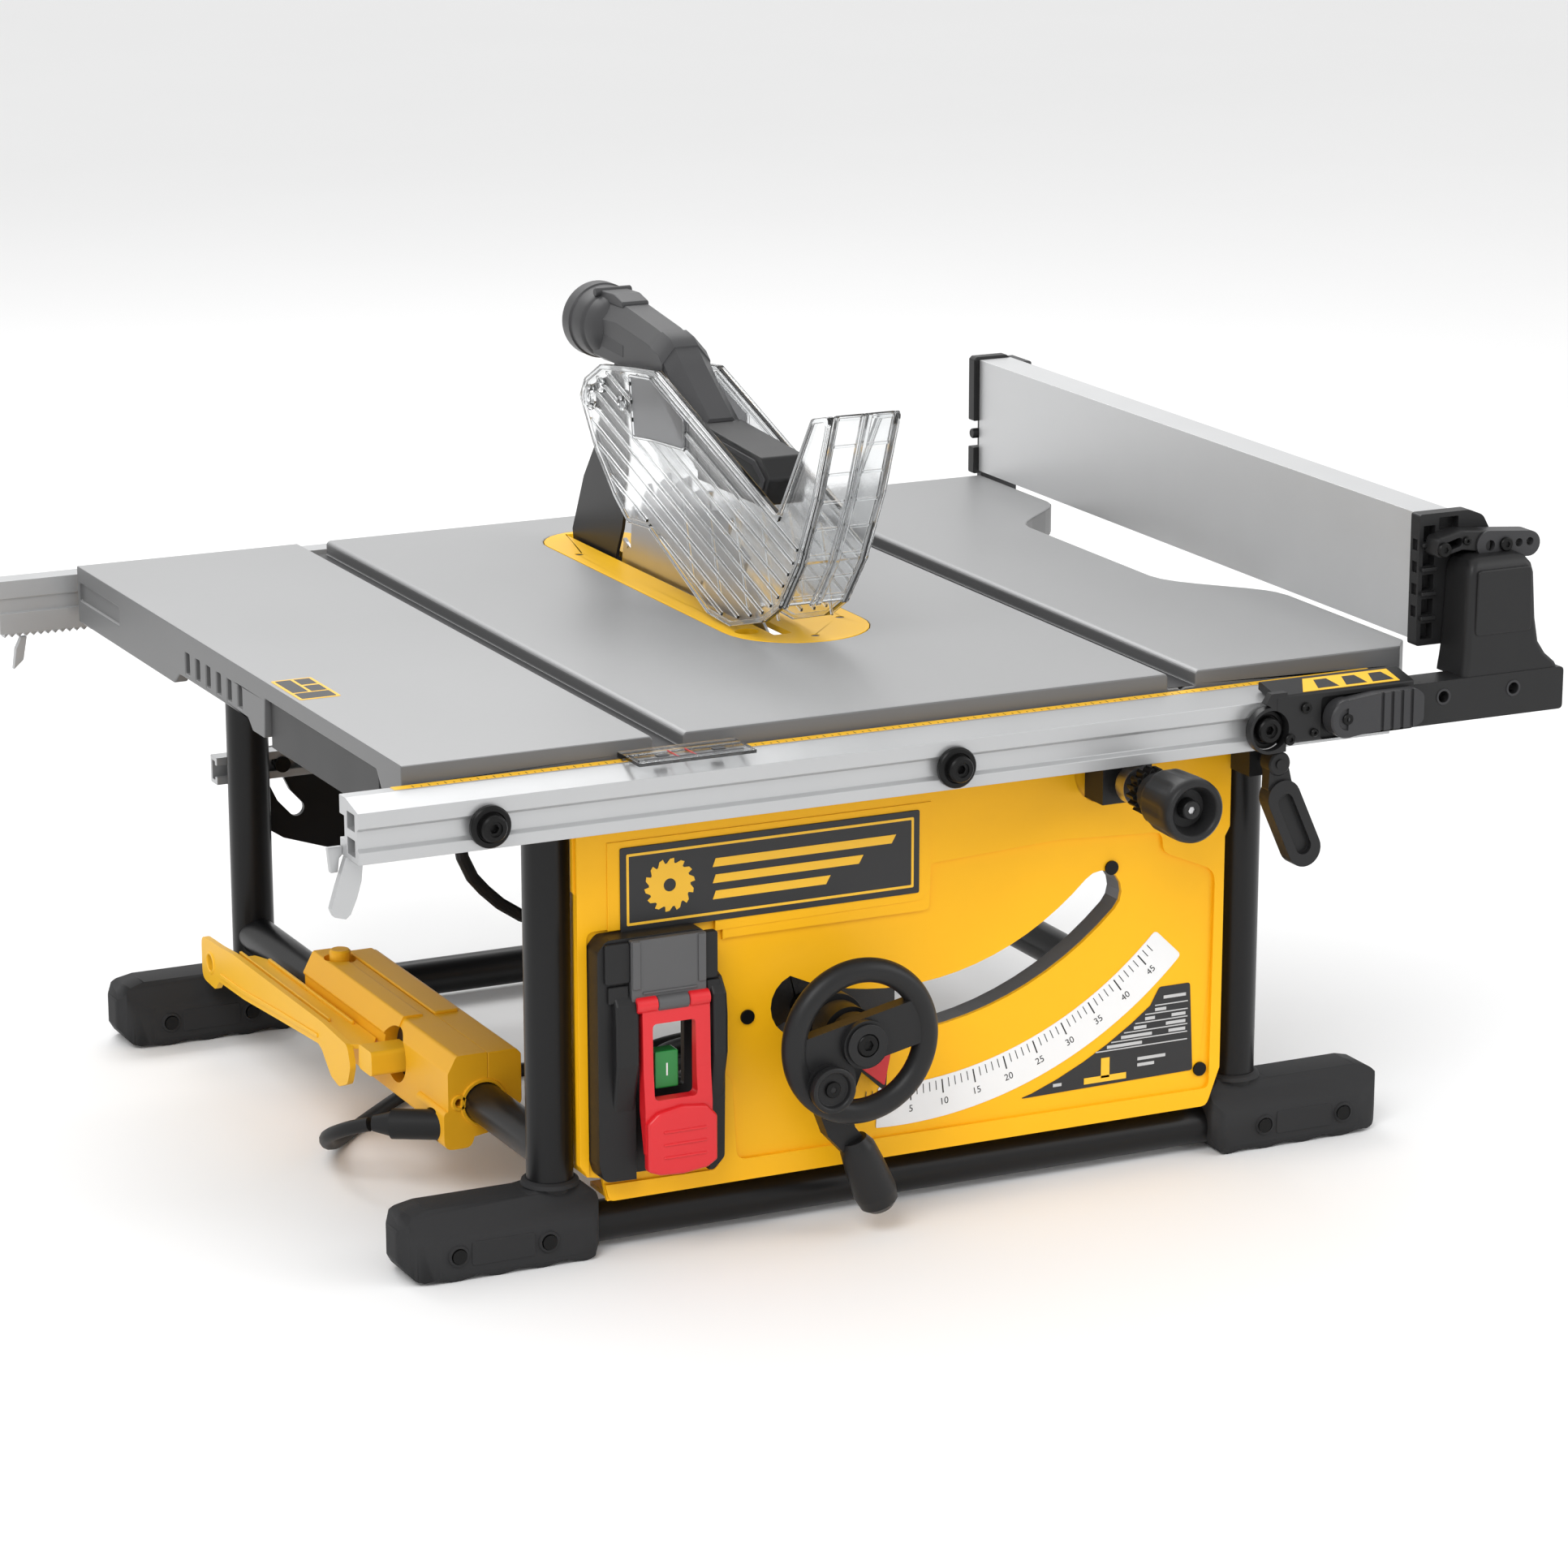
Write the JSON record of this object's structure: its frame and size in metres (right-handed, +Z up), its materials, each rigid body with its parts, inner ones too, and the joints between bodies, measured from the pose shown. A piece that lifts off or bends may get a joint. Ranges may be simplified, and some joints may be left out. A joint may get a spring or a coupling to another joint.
{
  "type": "table saw",
  "caption": "Jobsite table saw with a tilting, rising blade, clear two-part guard, rack-and-pinion rip fence and tube frame on rubber feet.",
  "frame": {"origin": "middle of the machine's footprint, on the floor", "axes": "+X to the operator's right along the front rail, +Y from the operator to the back along the cut, +Z up"},
  "size_m": [0.81, 0.699, 0.5075],
  "materials": {
    "table_top": "cast and ground",
    "throat_plate": "satin",
    "base_screws": "black oxide",
    "front_panel": "satin",
    "bevel_guide": "satin",
    "frame_legs": "gloss",
    "frame_tubes": "gloss",
    "foot_boots": "matte",
    "rail_guides": "matte",
    "scale_cursor": "clear",
    "switch_housing": "satin",
    "trunnion_front": "matte",
    "trunnion_rear": "satin",
    "rear_cross_rail": "satin",
    "stick_holder": "satin",
    "side_pocket": "matte",
    "cord_gland": "matte",
    "power_cord": "matte",
    "cord_coil": "matte",
    "mains_plug": "matte",
    "front_rail": "anodised",
    "rear_rail": "anodised",
    "rail_bolts": "black",
    "rail_hooks": "satin",
    "fence_beam": "anodised",
    "fence_end_caps": "satin",
    "fence_carrier": "satin",
    "fence_rear_carrier": "satin",
    "fence_link_bar": "satin",
    "fence_latch_lever": "satin",
    "fence_rear_lever": "satin",
    "pinion_shaft": "machined",
    "adjust_knob": "satin",
    "rail_lock_lever": "satin",
    "tilt_carriage": "matte",
    "guide_rods": "polished",
    "bevel_pointer": "satin",
    "lift_screw": "machined",
    "hand_wheel": "satin",
    "wheel_shaft": "machined",
    "crank_knob": "satin",
    "bevel_lock_lever": "satin",
    "lift_bracket": "cast",
    "motor_housing": "satin",
    "motor_lead": "matte",
    "blade_shroud": "matte",
    "riving_knife": "black",
    "guard_spine": "satin",
    "shield_arm_left": "satin",
    "shield_hub_left": "satin",
    "shield_left": "clear polycarbonate",
    "shield_hub_right": "satin",
    "shield_right": "clear polycarbonate",
    "motor_shaft": "machined",
    "arbor_shaft": "machined",
    "saw_blade": "ground",
    "blade_flanges": "machined",
    "start_button": "gloss",
    "stop_paddle": "satin",
    "push_stick": "satin"
  },
  "bodies": {
    "base": {"table_top": "table_top", "throat_plate": "throat_plate", "base_screws": "base_screws", "front_panel": "front_panel", "bevel_guide": "bevel_guide", "frame_legs": "frame_legs", "frame_tubes": "frame_tubes", "foot_boots": "foot_boots", "rail_guides": "rail_guides", "scale_cursor": "scale_cursor", "switch_housing": "switch_housing", "trunnion_front": "trunnion_front", "trunnion_rear": "trunnion_rear", "rear_cross_rail": "rear_cross_rail", "stick_holder": "stick_holder", "side_pocket": "side_pocket", "cord_gland": "cord_gland", "power_cord": "power_cord", "cord_coil": "cord_coil", "mains_plug": "mains_plug"},
    "rails": {"front_rail": "front_rail", "rear_rail": "rear_rail", "rail_bolts": "rail_bolts", "rail_hooks": "rail_hooks", "fence_beam": "fence_beam", "fence_end_caps": "fence_end_caps", "fence_carrier": "fence_carrier", "fence_rear_carrier": "fence_rear_carrier", "fence_link_bar": "fence_link_bar"},
    "front_latch": {"fence_latch_lever": "fence_latch_lever"},
    "rear_latch": {"fence_rear_lever": "fence_rear_lever"},
    "pinion": {"pinion_shaft": "pinion_shaft", "adjust_knob": "adjust_knob"},
    "rail_lock": {"rail_lock_lever": "rail_lock_lever"},
    "tilt": {"tilt_carriage": "tilt_carriage", "guide_rods": "guide_rods", "bevel_pointer": "bevel_pointer"},
    "screw": {"lift_screw": "lift_screw"},
    "wheel": {"hand_wheel": "hand_wheel", "wheel_shaft": "wheel_shaft"},
    "crank": {"crank_knob": "crank_knob"},
    "bevel_lever": {"bevel_lock_lever": "bevel_lock_lever"},
    "lift": {"lift_bracket": "lift_bracket", "motor_housing": "motor_housing", "motor_lead": "motor_lead", "blade_shroud": "blade_shroud", "riving_knife": "riving_knife", "guard_spine": "guard_spine"},
    "arm_left": {"shield_arm_left": "shield_arm_left"},
    "hub_left": {"shield_hub_left": "shield_hub_left"},
    "shield_l": {"shield_left": "shield_left"},
    "hub_right": {"shield_hub_right": "shield_hub_right"},
    "shield_r": {"shield_right": "shield_right"},
    "rotor": {"motor_shaft": "motor_shaft"},
    "arbor": {"arbor_shaft": "arbor_shaft", "saw_blade": "saw_blade", "blade_flanges": "blade_flanges"},
    "start": {"start_button": "start_button"},
    "paddle": {"stop_paddle": "stop_paddle"},
    "stick": {"push_stick": "push_stick"}
  },
  "joints": [
    {"name": "bevel_tilt", "type": "hinge", "parent": "base", "child": "tilt", "pos_m": [-0.0215, 0.0355, 0.327], "axis": [0, -1, 0], "range_deg": [0, 45]},
    {"name": "blade_lift", "type": "slide", "parent": "tilt", "child": "lift", "axis": [0, 0, 1], "range_m": [-0.077, 0]},
    {"name": "lift_screw_turn", "type": "hinge", "parent": "tilt", "child": "screw", "pos_m": [-0.074, -0.1595, 0.2], "axis": [0, 0, 1], "range_deg": [-3480, 10]},
    {"name": "handwheel_turn", "type": "hinge", "parent": "tilt", "child": "wheel", "pos_m": [-0.074, -0.2645, 0.13], "axis": [0, -1, 0], "range_deg": [-4110, 10]},
    {"name": "crank_knob_spin", "type": "hinge", "parent": "wheel", "child": "crank", "pos_m": [-0.099, -0.2995, 0.107], "axis": [0, 1, 0], "continuous": true},
    {"name": "bevel_lock", "type": "hinge", "parent": "tilt", "child": "bevel_lever", "pos_m": [-0.074, -0.2645, 0.13], "axis": [0, 1, 0], "range_deg": [0, 40]},
    {"name": "blade_spin", "type": "hinge", "parent": "lift", "child": "arbor", "pos_m": [-0.0215, 0.0605, 0.279], "axis": [1, 0, 0], "continuous": true},
    {"name": "motor_spin", "type": "hinge", "parent": "lift", "child": "rotor", "pos_m": [-0.125, 0.0355, 0.242], "axis": [1, 0, 0], "continuous": true},
    {"name": "fence_travel", "type": "slide", "parent": "base", "child": "rails", "axis": [1, 0, 0], "range_m": [-0.13, 0.483]},
    {"name": "fine_adjust", "type": "hinge", "parent": "base", "child": "pinion", "pos_m": [0.117, -0.2645, 0.264], "axis": [0, 1, 0], "range_deg": [-540, 1990]},
    {"name": "rail_lock_swing", "type": "hinge", "parent": "base", "child": "rail_lock", "pos_m": [0.212, -0.2825, 0.268], "axis": [0, -1, 0], "range_deg": [0, 50]},
    {"name": "front_latch_swing", "type": "hinge", "parent": "rails", "child": "front_latch", "pos_m": [0.243, -0.3095, 0.299], "axis": [0, 1, 0], "range_deg": [0, 60]},
    {"name": "rear_latch_swing", "type": "hinge", "parent": "rails", "child": "rear_latch", "pos_m": [0.37, 0.3355, 0.384], "axis": [1, 0, 0], "range_deg": [0, 60]},
    {"name": "start_press", "type": "slide", "parent": "base", "child": "start", "axis": [0, 1, 0], "range_m": [0, 0.004], "stiffness_N_per_m": 400},
    {"name": "stop_press", "type": "hinge", "parent": "base", "child": "paddle", "pos_m": [-0.185, -0.2575, 0.162], "axis": [1, 0, 0], "range_deg": [0, 8], "stiffness_Nm_per_rad": 1},
    {"name": "push_stick_out", "type": "slide", "parent": "base", "child": "stick", "axis": [-1, 0, 0], "range_m": [0, 0.06]},
    {"name": "guard_arm_left_turn", "type": "hinge", "parent": "lift", "child": "arm_left", "pos_m": [-0.0215, 0.1715, 0.438], "axis": [-1, 0, 0], "range_deg": [0, 10.5]},
    {"name": "guard_hub_left_turn", "type": "hinge", "parent": "arm_left", "child": "hub_left", "pos_m": [-0.0215, 0.1715, 0.438], "axis": [-1, 0, 0], "range_deg": [0, 30.5]},
    {"name": "shield_left_raise", "type": "hinge", "parent": "hub_left", "child": "shield_l", "pos_m": [-0.0215, 0.1715, 0.438], "axis": [-1, 0, 0], "range_deg": [0, 30]},
    {"name": "guard_hub_right_turn", "type": "hinge", "parent": "lift", "child": "hub_right", "pos_m": [-0.0215, 0.1715, 0.438], "axis": [-1, 0, 0], "range_deg": [0, 30.5]},
    {"name": "shield_right_raise", "type": "hinge", "parent": "hub_right", "child": "shield_r", "pos_m": [-0.0215, 0.1715, 0.438], "axis": [-1, 0, 0], "range_deg": [0, 30]}
  ],
  "couplings": [
    {"joint": "lift_screw_turn", "follows": "blade_lift", "rad_per_m": 785.4},
    {"joint": "handwheel_turn", "follows": "blade_lift", "rad_per_m": 928.2},
    {"joint": "motor_spin", "follows": "blade_spin", "ratio": -1.8182},
    {"joint": "fine_adjust", "follows": "fence_travel", "rad_per_m": 71.429},
    {"joint": "guard_arm_left_turn", "follows": "bevel_tilt", "ratio": 0.2222},
    {"joint": "guard_hub_left_turn", "follows": "blade_lift", "rad_per_m": -6.8},
    {"joint": "guard_hub_right_turn", "follows": "blade_lift", "rad_per_m": -6.8}
  ]
}
